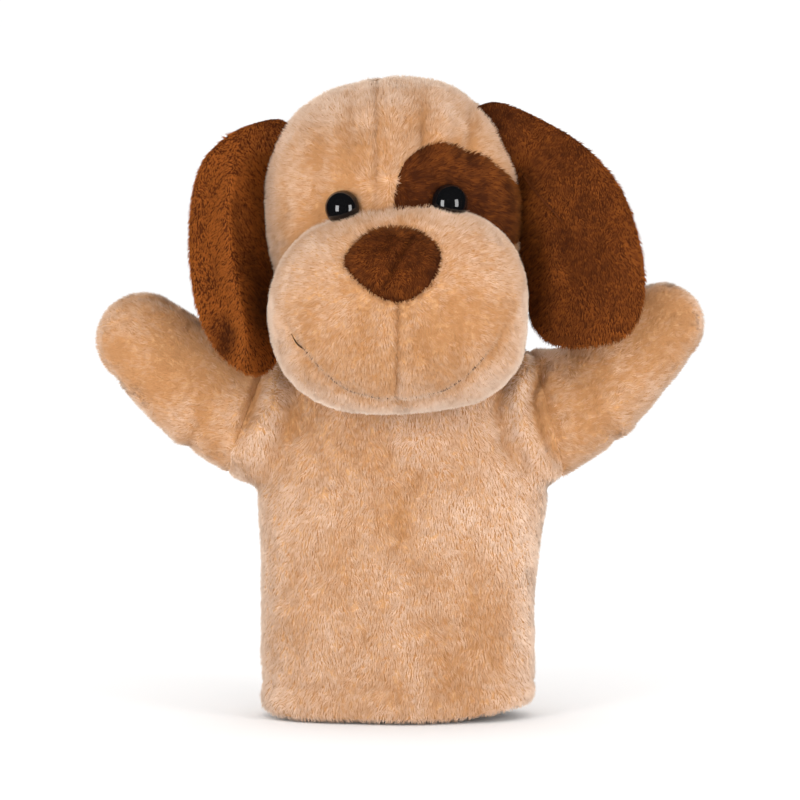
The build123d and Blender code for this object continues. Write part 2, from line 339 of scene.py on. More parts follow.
ARM_SHAPES = {               # side, paw radius, armhole's normal and offset, (share of length, radius)
    "left": (-1, 17.2, (-0.94, 0.10, 0.33), 5.0,
             [(0, 23.5), (0.3, 22.6), (0.6, 22.0), (0.82, 20.2), (1, 17.6)]),
    "right": (1, 15.6, (0.96, 0.10, 0.25), 2.0,
              [(0, 20.6), (0.3, 21.4), (0.6, 20.2), (0.82, 18.2), (1, 15.9)])}
ARMS = {}
for side, (sign, paw_r, tilt, seam_off, radii) in ARM_SHAPES.items():
    low, high = corners(f"{side}_arm_front_panel", f"{side}_arm_back_panel")
    tip_x = low[0] if sign < 0 else high[0]
    shoulder = pivot(f"{side}_arm_swing")
    paw = vec(tip_x - sign * paw_r, 12.0, high[2] - paw_r)
    ARMS[side] = dict(
        shoulder=shoulder, paw=paw, axis=unit(paw - shoulder), normal=unit(tilt),
        length=float(np.linalg.norm(paw - shoulder)),
        seam=shoulder + unit(tilt) * seam_off, radii=np.array(radii, float))


ARM_SAG = 2.6


def arm(p, a):
    """A tapering limb with a rounded paw."""
    s = np.clip((p - a["shoulder"]) @ a["axis"], 0, a["length"])
    share = s / a["length"]
    along = a["shoulder"] + s[:, None] * a["axis"] - np.outer(np.sin(share * math.pi), [0, 0, ARM_SAG])
    t = np.interp(share, a["radii"][:, 0], a["radii"][:, 1])
    t += 0.9 * bell(share - 0.95, 0.16)
    flat = (p - along) * np.array([1, 1.12, 1])
    return np.linalg.norm(flat, axis=1) - t + INSET


SHOULDERS = [                # inner end, outer end and radius of the cloth over each armhole
    (vec(14, 5, 124), vec(54, 6, 121.5), 20.5), (vec(-14, 5, 124), vec(-51, 6, 118.5), 19.5)]


def capsule(p, a, b, r):
    t = np.clip(((p - a) @ (b - a)) / ((b - a) @ (b - a)), 0, 1)
    return np.linalg.norm(p - a - t[:, None] * (b - a), axis=1) - r


def body_field(p):
    f = smooth_union(sleeve(p), np.linalg.norm(p - NECK, axis=1) - NECK_R, 2.0)
    for inner, outer, radius in SHOULDERS:
        f = smooth_union(f, capsule(p, inner, outer, radius - INSET), 8.0)
    for a in ARMS.values():
        f = smooth_union(f, arm(p, a), 6.0)
    return f


def seam_height(p, a):
    return (p - a["seam"]) @ a["normal"]


def torso_field(p):
    f = body_field(p)
    for a in ARMS.values():
        f = np.maximum(f, seam_height(p, a))
    return f


PLEATS = [                   # x, z points seen from the front, half width, lift
    ([(55.5, 136), (50.8, 126), (53.5, 114), (57.0, 104), (61, 97)], 2.2, -3.0),
    ([(48.5, 137), (44.5, 125), (47.0, 113), (51.5, 103), (55, 95)], 3.4, 2.8),
    ([(39.0, 132), (37.0, 120), (40.5, 106), (46, 97)], 3.6, -2.0),
    ([(-52, 134), (-56, 122), (-61, 110)], 2.8, -2.2),
    ([(-46, 132), (-49, 119), (-54, 105)], 4.2, 1.8),
    ([(-38, 128), (-41, 116), (-46, 104)], 4.0, -1.2),
    ([(-64, 112), (-65, 104), (-64, 97)], 2.6, 1.2),
]


def stroke(p, points, width):
    """Closeness to a line drawn on the front."""
    q, best = p[:, [0, 2]], np.full(len(p), 1e9)
    pts = np.array(points, float)
    for a, b in zip(pts[:-1], pts[1:]):
        t = np.clip(((q - a) @ (b - a)) / ((b - a) @ (b - a)), 0, 1)
        best = np.minimum(best, np.linalg.norm(q - (a + t[:, None] * (b - a)), axis=1))
    ends = 1 - 0.6 * ramp(np.minimum(np.linalg.norm(q - pts[0], axis=1),
                                     np.linalg.norm(q - pts[-1], axis=1)), 10, 0)
    return bell(best, width) * ends


def body_relief(p):
    x, y, z = p.T
    d = 0.8 * noise(p * [1, 1, 0.55], 21, 11) + 0.35 * noise(p, 8, 12)
    d *= ramp(NECK[2] + 6 - z, 0, 10)
    for points, width, lift in PLEATS:
        d += lift * stroke(p, points, width) * (y < 0)
    for a in ARMS.values():
        height = seam_height(p, a)
        at_pit = ramp(a["seam"][2] - z, 2, 16)
        d -= (1.3 * bell(height, 2.0) - 0.8 * bell(height + 7, 3.6)) * (1 - 0.85 * at_pit)
        # the limb's own long seams, above and below
        beyond = ramp(seam_height(p, a), 0, 6)
        split = p[:, 1] - (a["shoulder"][1] + 4)
        d -= 0.35 * bell(split, 1.4) * beyond
        # creases where the limb bends out of the body
        s = (p - a["shoulder"]) @ a["axis"]
        under = ramp(a["shoulder"][2] + s * a["axis"][2] - z, -6, 10)
        d -= 1.0 * bell(s - 17, 2.6) * under * beyond
        d += 0.6 * bell(s - 23, 3.2) * under * beyond
    side_seam = bell(y, 1.6) * ramp(np.abs(x), 40, 50) * ramp(100 - z, 0, 8)
    d -= 0.8 * side_seam
    d += 0.5 * bell(z - 3, 4.0) - 0.5 * bell(z - 13, 2.2)
    d += 0.7 * np.sin(x / 9.0 + 1.3) * ramp(40 - z, 0, 40) * (y < 0)
    return d


# ---- meshes ----------------------------------------------------------------
def make_object(name, verts, faces, material, smooth=True):
    me = bpy.data.meshes.new(name)
    verts = np.asarray(verts, float) * MM
    if isinstance(faces, np.ndarray):
        k = faces.shape[1]
        me.vertices.add(len(verts))
        me.vertices.foreach_set("co", verts.astype(np.float32).ravel())
        me.loops.add(faces.size)
        me.loops.foreach_set("vertex_index", faces.astype(np.int32).ravel())
        me.polygons.add(len(faces))
        me.polygons.foreach_set("loop_start", np.arange(0, faces.size, k, dtype=np.int32))
        me.polygons.foreach_set("loop_total", np.full(len(faces), k, np.int32))
    else:
        me.from_pydata(verts.tolist(), [], faces)
    me.polygons.foreach_set("use_smooth", np.full(len(me.polygons), smooth))
    me.update(calc_edges=True)
    for m in material if isinstance(material, (list, tuple)) else [material]:
        me.materials.append(m)
    ob = bpy.data.objects.new(name, me)
    bpy.context.scene.collection.objects.link(ob)
    return ob


def vertex_normals(v, f):
    n = np.zeros_like(v)
    a, b, c = v[f[:, 0]], v[f[:, 1]], v[f[:, 2]]
    fn = np.cross(b - a, c - a)
    for k in range(f.shape[1]):
        np.add.at(n, f[:, k], fn)
    return unit(n)


def tidy(v, f):
    """Drops unused vertices."""
    used = np.unique(f)
    index = np.full(len(v), -1)
    index[used] = np.arange(len(used))
    return v[used], index[f]


def thicken(v, f, thickness, n=None):
    """A closed shell: the outer face, an inner face, and a rim between them."""
    if n is None:
        n = vertex_normals(v, f)
    k = f.shape[1]
    edges = np.concatenate([f[:, [i, (i + 1) % k]] for i in range(k)])
    key = np.sort(edges, 1)
    _, first, counts = np.unique(key, axis=0, return_index=True, return_counts=True)
    rim = edges[first[counts == 1]]
    m = len(v)
    faces = [list(q) for q in f] + [list(q[::-1] + m) for q in f]
    faces += [[b, a, a + m, b + m] for a, b in rim]
    return np.concatenate([v, v - n * thickness]), faces


def triangles(f):
    return f if f.shape[1] == 3 else np.concatenate([f[:, [0, 1, 2]], f[:, [0, 2, 3]]])


def quads(rows, cols):
    """Faces between rings of cols points, each ring closed."""
    r, c = np.meshgrid(np.arange(rows - 1), np.arange(cols), indexing="ij")
    nxt = (c + 1) % cols
    return np.stack([r * cols + c, r * cols + nxt, (r + 1) * cols + nxt, (r + 1) * cols + c],
                    -1).reshape(-1, 4)


# ---- materials -------------------------------------------------------------
def principled(name, color, rough=0.85, **sockets):
    m = bpy.data.materials.new(name)
    m.use_nodes = True
    b = m.node_tree.nodes["Principled BSDF"]
    b.inputs["Base Color"].default_value = (*color, 1)
    b.inputs["Roughness"].default_value = rough
    for key, value in sockets.items():
        b.inputs[key.replace("_", " ")].default_value = value
    m.diffuse_color = (*color, 1)
    return m, m.node_tree, b


def add_noise(tree, scale, detail=3.0, stretch=(1, 1, 1)):
    coord = tree.nodes.new("ShaderNodeTexCoord")
    mapping = tree.nodes.new("ShaderNodeMapping")
    mapping.inputs["Scale"].default_value = stretch
    tex = tree.nodes.new("ShaderNodeTexNoise")
    tex.inputs["Scale"].default_value = scale
    tex.inputs["Detail"].default_value = detail
    tree.links.new(coord.outputs["Object"], mapping.inputs["Vector"])
    tree.links.new(mapping.outputs["Vector"], tex.inputs["Vector"])
    return tex.outputs["Fac"]


def plush_ground(name, dark, light, stretch=(1, 1, 0.35)):
    """The knitted ground and the roots of the pile, mottled and finely streaked."""
    m, tree, b = principled(name, dark, 0.95, Sheen_Weight=0.25, Sheen_Roughness=0.5)
    b.inputs["Sheen Tint"].default_value = (*light, 1)
    b.inputs["Specular IOR Level"].default_value = 0.1
    mix = tree.nodes.new("ShaderNodeMix")
    mix.data_type = "RGBA"
    ramp_node = tree.nodes.new("ShaderNodeValToRGB")
    ramp_node.color_ramp.elements[0].position = 0.32
    ramp_node.color_ramp.elements[1].position = 0.68
    tree.links.new(add_noise(tree, 420, 4, stretch), ramp_node.inputs["Fac"])
    tree.links.new(ramp_node.outputs["Color"], mix.inputs["Factor"])
    mix.inputs[6].default_value = (*dark, 1)
    mix.inputs[7].default_value = (*light, 1)
    tree.links.new(mix.outputs[2], b.inputs["Base Color"])
    bump = tree.nodes.new("ShaderNodeBump")
    bump.inputs["Strength"].default_value = 0.6
    bump.inputs["Distance"].default_value = 0.0006
    tree.links.new(add_noise(tree, 1400, 3, stretch), bump.inputs["Height"])
    tree.links.new(bump.outputs["Normal"], b.inputs["Normal"])
    return m


def pile_shades(name, low, high, count, sheen, tint):
    """Even steps of colour from darker, shaded pile to paler, lit pile; each tuft's step mixes its random
    tone with painted sheen and painted shade.
    """
    made = []
    for k in range(count):
        t = k / (count - 1)
        color = [a * (1 - t) + b * t for a, b in zip(low, high)]
        m, _, b = principled(f"{name}_{k}", color, 0.8, Sheen_Weight=sheen, Sheen_Roughness=0.5)
        b.inputs["Sheen Tint"].default_value = (*tint, 1)
        b.inputs["Specular IOR Level"].default_value = 0.12
        made.append(m)
    return made


def woven(name, dark, light, scale=900):
    m, tree, b = principled(name, light, 0.9)
    coord = tree.nodes.new("ShaderNodeTexCoord")
    waves = []
    for direction in ("X", "Z"):
        wave = tree.nodes.new("ShaderNodeTexWave")
        wave.bands_direction = direction
        wave.inputs["Scale"].default_value = scale
        wave.inputs["Distortion"].default_value = 0.6
        tree.links.new(coord.outputs["Object"], wave.inputs["Vector"])
        waves.append(wave.outputs["Fac"])
    both = tree.nodes.new("ShaderNodeMath")
    both.operation = "MULTIPLY"
    tree.links.new(waves[0], both.inputs[0])
    tree.links.new(waves[1], both.inputs[1])
    mix = tree.nodes.new("ShaderNodeMix")
    mix.data_type = "RGBA"
    mix.inputs[6].default_value = (*dark, 1)
    mix.inputs[7].default_value = (*light, 1)
    tree.links.new(both.outputs[0], mix.inputs["Factor"])
    tree.links.new(mix.outputs[2], b.inputs["Base Color"])
    bump = tree.nodes.new("ShaderNodeBump")
    bump.inputs["Strength"].default_value = 0.5
    bump.inputs["Distance"].default_value = 0.0003
    tree.links.new(both.outputs[0], bump.inputs["Height"])
    tree.links.new(bump.outputs["Normal"], b.inputs["Normal"])
    return m


tan_ground = plush_ground("tan_ground", (0.46, 0.22, 0.085), (0.62, 0.35, 0.17))
brown_ground = plush_ground("brown_ground", (0.05, 0.011, 0.0016), (0.10, 0.024, 0.0038))
tan_pile = pile_shades("tan_pile", (0.535, 0.255, 0.100), (0.83, 0.585, 0.43), 8, 0.85, (1.0, 0.85, 0.72))
brown_pile = pile_shades("brown_pile", (0.056, 0.0115, 0.0012), (0.31, 0.082, 0.0108), 7, 0.35,
                         (0.70, 0.27, 0.07))
cotton = woven("cotton", (0.52, 0.42, 0.30), (0.72, 0.62, 0.48))
fibre = plush_ground("fibre", (0.70, 0.70, 0.68), (0.9, 0.9, 0.88))
thread_dark = plush_ground("thread_dark", (0.030, 0.012, 0.005), (0.07, 0.03, 0.012), (1, 1, 1))
thread_tan = plush_ground("thread_tan", (0.42, 0.25, 0.12), (0.6, 0.4, 0.22), (1, 1, 1))
washer = plush_ground("washer_white", (0.74, 0.74, 0.72), (0.82, 0.82, 0.80), (1, 1, 1))
eye_black, _, eye_node = principled("eye_black", (0.004, 0.004, 0.0045), 0.06, Coat_Weight=0.2)
eye_node.inputs["Coat Roughness"].default_value = 0.03

# ---- pile: short tapered tufts of fibre, laid in the brushing direction ----
DENSITY = 3.6
MOST_TUFTS = 66000           # tufts in one piece
FIBRE_ROUND, FIBRE_JITTER, FIBRE_TIP = 0.85, 0.25, 0.25
FINE_GRAIN = 0.25            # tuft rows a millimetre or two apart
PAINTED_FOLD_SHADE = 0.13                # painted shade, a step darker for each millimetre the cloth sinks in its folds, and painted light, a step paler for each millimetre it stands up
PAINTED_SHEEN_PALE = 0.55             # painted sheen: the pile is painted paler where the cloth turns away to the sides
CUTS = {"tan": (tan_ground, tan_pile), "brown": (brown_ground, brown_pile)}


def grow_pile(name, v, f, comb, shades, seed, length=2.1, lift=0.80, width=0.25, keep=None,
              density=1.0, shade_bias=0.0, edge=PAINTED_SHEEN_PALE, relief=None):
    """Tufts on the triangles or quads f, each a three-sided spike rooted in the cloth."""
    rng = np.random.default_rng(seed)
    tri = triangles(f)
    a, b, c = v[tri[:, 0]], v[tri[:, 1]], v[tri[:, 2]]
    area = np.linalg.norm(np.cross(b - a, c - a), axis=1) / 2
    count = int(area.sum() * DENSITY * density)
    count = min(count, MOST_TUFTS)
    pick = rng.choice(len(tri), count, p=area / area.sum())
    u, w = rng.random(count), rng.random(count)
    flip = u + w > 1
    u, w = np.where(flip, 1 - u, u), np.where(flip, 1 - w, w)
    root = a[pick] + (b[pick] - a[pick]) * u[:, None] + (c[pick] - a[pick]) * w[:, None]
    vn = vertex_normals(v, f)
    n = unit(vn[tri[pick, 0]] * (1 - u - w)[:, None] + vn[tri[pick, 1]] * u[:, None]
             + vn[tri[pick, 2]] * w[:, None])
    if keep is not None:
        ok = keep(root, n)
        root, n = root[ok], n[ok]
        count = len(root)
    way = comb(root, n)
    way = way + 0.55 * swirl(root, 9.0, seed + 20) + 0.5 * swirl(root, 2.6, seed + 30)
    way = way + 0.22 * (rng.random((count, 3)) - 0.5) * 2
    way = unit(way - n * np.sum(way * n, 1)[:, None])
    rise = lift + 0.16 * noise(root, 3.0, seed + 40) + 0.16 * (rng.random(count) - 0.5)
    grow = unit(way * np.cos(rise)[:, None] + n * np.sin(rise)[:, None])
    long = length * (0.82 + 0.36 * rng.random(count) + 0.14 * noise(root, 4, seed + 50))
    across = unit(np.cross(grow, n))
    up = np.cross(across, grow)
    r = width * (0.8 + 0.4 * rng.random(count))
    base = root - grow * 0.5
    verts = np.empty((count, 4, 3))
    for k, turn in enumerate((0.0, 2 * math.pi / 3, 4 * math.pi / 3)):
        verts[:, k] = base + (across * math.cos(turn) + up * math.sin(turn) * 0.7) * r[:, None]
    verts[:, 3] = root + grow * long[:, None]
    verts[:, 3] -= n * (0.10 * long)[:, None]
    pattern = np.array([[1, 0, 3], [2, 1, 3], [0, 2, 3]])
    faces = (np.arange(count)[:, None, None] * 4 + pattern[None]).reshape(-1, 3)
    ob = make_object(name, verts.reshape(-1, 3), faces, shades)
    # light falls on the pile as on the cloth under it, varied a little from tuft to tuft
    jitter = rng.random((count, 3)) - 0.5
    soft = np.empty((count, 4, 3))
    for k, turn in enumerate((0.0, 2 * math.pi / 3, 4 * math.pi / 3)):
        soft[:, k] = n + (across * math.cos(turn) + up * math.sin(turn)) * FIBRE_ROUND + jitter * FIBRE_JITTER
    soft[:, 3] = n + grow * FIBRE_TIP + jitter * FIBRE_JITTER
    ob.data.normals_split_custom_set_from_vertices(unit(soft.reshape(-1, 3)))
    if callable(shade_bias):
        shade_bias = shade_bias(root)
    # painted shade in the folds, seams and dents of the cloth, painted light on its ridges
    if relief is not None:
        shade_bias = shade_bias + PAINTED_FOLD_SHADE * relief(root)
    # painted sheen: paler steps of colour where the cloth faces the sides, darker where it faces the front or
    # up
    facing = 0.5 - np.hypot(n[:, 1], 0.7 * n[:, 2])
    tone = (0.5 + shade_bias + edge * facing + 0.24 * noise(root * [1, 1, 0.5], 20, seed + 60)
            + 0.20 * noise(root * [1, 1, 0.6], 7, seed + 70)
            + FINE_GRAIN * noise(root * [1, 1, 1.7], 1.7, seed + 80) + 0.17 * (rng.random(count) - 0.5))
    index = np.clip((tone * len(shades)).astype(int), 0, len(shades) - 1)
    ob.data.polygons.foreach_set("material_index", np.repeat(index, 3).astype(np.int32))
    return ob


def skin(name, v, f, cut, place, nodes=(), thickness=2.3, soft=None, pile=None):
    """One panel of plush: its ground as a closed shell, and its pile as a second piece."""
    ground, shades = CUTS[cut]
    v, f = tidy(v, f)
    sv, sf = thicken(v, f, thickness)
    made = [make_object(name, sv, sf, ground)]
    if nodes:
        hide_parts(*nodes)
    if pile is not None:
        made.append(grow_pile(f"{name}_pile", v, f, shades=shades, **pile))
    for ob in made:
        place(ob)
    if soft:
        soft(made[0])
    return made


# ---- head ------------------------------------------------------------------
bm = bmesh.new()
bmesh.ops.create_icosphere(bm, subdivisions=7, radius=1)
rays = np.array([v.co for v in bm.verts], float)
tris = np.array([[v.index for v in f.verts] for f in bm.faces])
bm.free()
rays = unit(rays)
core = vec(MUZZLE[0], -20.0, 181.0)
dist = shoot(core + 0 * rays, rays, head_field, 110.0)
plain = core + rays * dist[:, None]
normal = gradient(head_field, plain)
head_v = plain + normal * head_relief(plain)[:, None]
centre_of = plain[tris].mean(1)
socket = np.linalg.norm(centre_of - NECK, axis=1) < 30.9
part_of = head_part(centre_of)


def ride_head(ob):
    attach(ob, "head")


def from_point(origin, drop=0.0):
    origin = np.asarray(origin, float)

    def comb(p, n):
        return unit(p - origin) + np.array([0, 0, -drop])
    return comb


def clear_of_face(p, n):
    """Keeps the pile off the eyes, the mouth line and the neck."""
    ok = np.ones(len(p), bool)
    for c in EYES.values():
        ok &= np.linalg.norm((p - c) * [1, 0.6, 1], axis=1) > 6.4
    at_corner = (p[:, 0] < MUZZLE[0] - 36.5) & (p[:, 0] > MUZZLE[0] - MOUTH_HALF + 1)
    ok &= ~((np.abs(mouth_gap(p)) < 0.45) & at_corner & (p[:, 1] < MUZZLE[1]))
    return ok & (np.linalg.norm(p - NECK, axis=1) > 31.5)


crown = vec(HEAD[0] - 3, -52, 212)
HEAD_PANELS = {              # panel: cut, comb, CAD node, fill
    "forehead_left": ("tan", from_point(crown, 0.0), "forehead_left_panel", 0.9),
    "forehead_right": ("tan", from_point(crown, 0.0), "forehead_right_panel", 0.9),
    "eye_patch": ("brown", from_point(crown, 0.2), "eye_patch", 0.9),
    "head_back_left": ("tan", from_point(vec(HEAD[0], 10, 262), 0.4), "head_back_left_panel", 0.9),
    "head_back_right": ("tan", from_point(vec(HEAD[0], 10, 262), 0.4), "head_back_right_panel", 0.9),
    "muzzle_left": ("tan", from_point(NOSE, 0.1), "muzzle_left_panel", 0.95),
    "muzzle_right": ("tan", from_point(NOSE, 0.1), "muzzle_right_panel", 0.95),
    "chin": ("tan", from_point(NOSE, 0.0), "chin_panel", 0.9),
    "nose": ("brown", from_point(NOSE + vec(0, 8, 6), 0.2), "nose_panel", 0.9),
}
HEAD_TONES = {               # shade steps from the middle tone: the chin's paler step is painted sheen, and the muzzle and forehead are darkened against the lamps that light the head more, painted shade
    "chin": 0.10, "muzzle_left": -0.26, "muzzle_right": -0.22, "eye_patch": -0.20, "nose": -0.17,
    "forehead_left": -0.13, "forehead_right": -0.22}
for k, (panel, (cut, comb, node, fill)) in enumerate(HEAD_PANELS.items()):
    chosen = tris[(part_of == panel) & ~socket]
    name = "eye_patch_cloth" if panel == "eye_patch" else panel
    skin(name, head_v, chosen, cut, ride_head, [node],
         soft=lambda ob, fill=fill: ob,
         pile=dict(comb=comb, seed=100 + 10 * k, keep=clear_of_face, relief=head_relief,
                   shade_bias=HEAD_TONES.get(panel, 0.0),
                   # painted sheen at each panel's sides; on the muzzle it turns to a little painted shade at
                   # its sides
                   edge=-0.1 if panel.startswith("muzzle") else 0.28,
                   length=2.1 if panel in ("muzzle_left", "muzzle_right", "nose") else 2.5,
                   lift=0.95 if panel.startswith("muzzle") or panel == "nose" else 0.8))

# fibre wadding behind the cloth, open where the neck's rings turn
lump = 3.9 + 0.5 * noise(plain, 9, 77)
neck_room = np.linalg.norm(centre_of - NECK, axis=1) > 35
wad_v, wad_f = tidy(plain - normal * lump[:, None], tris[~socket & neck_room])
wad_v, wad_f = thicken(wad_v, wad_f, 3.0)
wadding = make_object("head_wadding", wad_v, wad_f, fibre)
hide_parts("head_stuffing", "muzzle_stuffing")
ride_head(wadding)

# eyes: polished domes seated in the cloth
polar = [math.radians(a) for a in range(0, 91, 6)]
EYE_PROFILE = [(6.6 * math.sin(a), -1.2 + 6.7 * math.cos(a)) for a in polar] + [
    (6.5, -1.9), (6.1, -2.3), (0.0, -2.4)]
for side, c in EYES.items():
    surface = shoot(core[None], unit(c - core)[None], head_field, 110.0)[0]
    seat = core + unit(c - core) * surface
    out = gradient(cranium, seat[None])[0]
    centre = c + np.array([0, 0, -1.2])
    scale = {"left": 1.03, "right": 1.10}[side]
    helper = unit(np.cross(out, [0, 0, 1]))
    other = np.cross(helper, out)
    profile = [(r * scale, h) for r, h in EYE_PROFILE]
    turns = 64
    ring = []
    for r, h in profile[1:-1]:
        for t in range(turns):
            a = 2 * math.pi * t / turns
            ring.append(centre + (helper * math.cos(a) + other * math.sin(a)) * r + out * h)
    ring = np.array(ring)
    f = [list(q) for q in quads(len(profile) - 2, turns)]
    top, bottom = len(ring), len(ring) + 1
    f = [q[::-1] for q in f]
    f += [[top, t, (t + 1) % turns] for t in range(turns)]
    last = (len(profile) - 3) * turns
    f += [[bottom, last + (t + 1) % turns, last + t] for t in range(turns)]
    ring = np.concatenate([ring, [centre + out * profile[0][1]], [centre + out * profile[-1][1]]])
    eye = make_object(f"{side}_eye_dome", ring, f, eye_black)
    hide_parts(f"{side}_eye")
    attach(eye, "head")

# mouth: a line of dark thread, sunk in the pile here and there
xs = MUZZLE[0] + np.linspace(-MOUTH_HALF + 0.5, MOUTH_HALF - 2, 220)
origin = np.stack([xs, np.full(len(xs), MUZZLE[1]), mouth_z(xs)], 1)
depth = shoot(origin, np.tile([0, -1.0, 0], (len(xs), 1)), muzzle, 60.0)
line = origin + np.array([0, -1.0, 0]) * depth[:, None]
line_n = gradient(muzzle, line)
corner = ramp(MUZZLE[0] - 35.5 - line[:, 0], 0, 2.5)
proud = head_relief(line) + 0.1 + 0.6 * noise(line, 6, 3) + 1.6 * corner
line = line + line_n * proud[:, None]
sides = 8
verts = []
for k in range(len(line)):
    ahead = unit(line[min(k + 1, len(line) - 1)] - line[max(k - 1, 0)])
    e1 = line_n[k]
    e2 = np.cross(ahead, e1)
    taper = min(1.0, 0.3 + min(k, len(line) - 1 - k) / 12)
    for t in range(sides):
        a = 2 * math.pi * t / sides + k * 0.5
        r = 0.36 * taper * (1 + 0.14 * math.cos(2 * a))
        verts.append(line[k] + (e1 * math.cos(a) + e2 * math.sin(a)) * r)
faces = [list(q) for q in quads(len(line), sides)]
faces += [list(range(sides)), list(range((len(line) - 1) * sides, len(line) * sides))[::-1]]
mouth = make_object("mouth_thread", np.array(verts), faces, thread_dark)
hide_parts("mouth_stitching")
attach(mouth, "head")

# ---- body ------------------------------------------------------------------
COLS, LOW_ROWS, FAN_ROWS, ROLL_ROWS = 400, 150, 64, 6
HEM_ROLL = 1.9
FAN, FAN_SPREAD = NECK - vec(0, 0, 15), 62
HEM_DEPTH, HEM_SWAY = 16, 0.9
HEM_LIFT = np.array([        # x, how far the hem is drawn up
    (-54, 3.4), (-49, 1.2), (-40, 0.3), (8, 0.0), (25, 1.4), (44, 4.0), (51, 4.8), (54, 6.2)])
ARM_COLS, ARM_ROWS, CAP_ROWS = 150, 70, 26
ARM_BEND = 24                # a length from the arm's seam along the armhole's normal


def even_angles(count):
    """Directions that reach evenly spaced points round the sleeve."""
    t = np.linspace(0, 2 * math.pi, 7201)
    c, sn = np.cos(t), np.sin(t)
    r = (np.abs(c / 54) ** SLEEVE_POWER + np.abs(sn / 31) ** SLEEVE_POWER) ** (-1 / SLEEVE_POWER)
    step = np.hypot(np.diff(r * c), np.diff(r * sn))
    run = np.concatenate([[0], np.cumsum(step)])
    return np.interp(np.linspace(0, run[-1], count, endpoint=False), run, t)


def arm_rays(a):
    """Rings of rays from the arm's middle line, from the armhole's plane to the paw's tip."""
    s0 = float((a["seam"] - a["shoulder"]) @ a["normal"] / (a["axis"] @ a["normal"]))
    origins, rays = [], []
    e1 = unit(np.cross(a["axis"], [0, 1.0, 0]))
    turn = np.linspace(0, 2 * math.pi, ARM_COLS, endpoint=False)
    for k in range(ARM_ROWS + 1):
        t = k / ARM_ROWS
        o = a["shoulder"] + a["axis"] * (s0 + (a["length"] - s0) * t)
        plane_n = unit(a["normal"] * (1 - ramp(t, 0, 0.75)) + a["axis"] * ramp(t, 0, 0.75))
        u = unit(e1 - plane_n * (e1 @ plane_n))
        origins.append(np.tile(o, (ARM_COLS, 1)))
        rays.append(np.cos(turn)[:, None] * u + np.sin(turn)[:, None] * np.cross(plane_n, u))
    flat = np.cos(turn)[:, None] * e1 + np.sin(turn)[:, None] * np.cross(a["axis"], e1)
    for k in range(1, CAP_ROWS + 1):
        polar = math.pi / 2 * k / CAP_ROWS
        origins.append(np.tile(a["paw"], (ARM_COLS, 1)))
        rays.append(flat * math.cos(polar) + a["axis"] * math.sin(polar))
    return np.concatenate(origins), np.concatenate(rays)


for a in ARMS.values():
    origins, rays_a = arm_rays(a)
    reach = shoot(origins, rays_a, body_field, 70.0, outermost=False, steps=140)
    a["plain"] = origins + rays_a * reach[:, None]
    a["skin"] = a["plain"] + gradient(body_field, a["plain"]) * body_relief(a["plain"])[:, None]

angles = even_angles(COLS)
flat_rays = np.stack([np.cos(angles), np.sin(angles), np.zeros(COLS)], 1)
origins, rays_b = [], []
for k in range(LOW_ROWS + 1):
    z = FAN[2] * k / LOW_ROWS
    c = vec(np.interp(z, [0, FAN[2]], [-0.5, FAN[0]]), np.interp(z, [0, FAN[2]], [0, FAN[1]]), z)
    origins.append(np.tile(c, (COLS, 1)))
    rays_b.append(flat_rays)
for k in range(1, FAN_ROWS + 1):
    polar = math.radians(90 - FAN_SPREAD * k / FAN_ROWS)
    origins.append(np.tile(FAN, (COLS, 1)))
    rays_b.append(flat_rays * math.sin(polar) + np.array([0, 0, math.cos(polar)]))
origins, rays_b = np.concatenate(origins), np.concatenate(rays_b)
reach = shoot(origins, rays_b, torso_field, 95.0, steps=120)
plain_b = origins + rays_b * reach[:, None]
normal_b = gradient(body_field, plain_b)
body_v = plain_b + normal_b * body_relief(plain_b)[:, None]
hem_dip = ramp(HEM_DEPTH - plain_b[:, 2], 0, HEM_DEPTH)
corner_lift = np.interp(plain_b[:, 0], HEM_LIFT[:, 0], HEM_LIFT[:, 1])
sway = HEM_SWAY * noise(plain_b * [1, 1, 0.1], 24, 9)
body_v[:, 2] += hem_dip * (HEM_ROLL + 0.5 + sway + corner_lift)
# armholes: open, with their edge on the arm's first ring
body_f = quads(LOW_ROWS + 1 + FAN_ROWS, COLS)
for a in ARMS.values():
    on_plane = np.abs(seam_height(plain_b, a)) < 0.05
    body_f = body_f[~on_plane[body_f].all(1)]
    edge_points = np.intersect1d(np.nonzero(on_plane)[0], np.unique(body_f))
    first = a["skin"][:ARM_COLS]
    dense = np.concatenate([first + (np.roll(first, -1, 0) - first) * t for t in (0, 0.25, 0.5, 0.75)])
    gap = np.linalg.norm(body_v[edge_points][:, None] - dense[None], axis=2)
    body_v[edge_points] = dense[gap.argmin(1)]
# the hem rolls under
roll, foot = [], body_v[:COLS]
inward = unit(np.array([0, 0, 0.0]) - foot * [1, 1, 0])
for k in range(ROLL_ROWS, 0, -1):
    turn = math.radians(115) * k / ROLL_ROWS
    drop = np.array([0, 0, -1.0]) * HEM_ROLL * math.sin(turn)
    roll.append(foot + inward * HEM_ROLL * (1 - math.cos(turn)) + drop)
body_v = np.concatenate(roll + [body_v])
plain_b = np.concatenate([plain_b[:COLS]] * ROLL_ROWS + [plain_b])
body_f = np.concatenate([quads(ROLL_ROWS + 1, COLS), body_f + ROLL_ROWS * COLS])
mid = plain_b[body_f].mean(1)


def ride_body(ob):
    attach(ob, "body")


def down(p, n):
    return np.tile([0.0, 0.0, -1.0], (len(p), 1))


def body_tone_and_painted_sheen(p):
    """A paler tone all over, and painted sheen: paler still at the sides, low down."""
    return 0.17 + 0.22 * bell(np.abs(p[:, 0]) - 47, 9) * ramp(100 - p[:, 2], 0, 30)


def down_and_under(p, n):
    """Down the body, and turning in under the hem."""
    under = ramp(5 - p[:, 2], 0, 5)[:, None]
    return np.array([0, 0, -1.0]) * (1 - 0.8 * under) - unit(p * [1, 1, 0]) * under


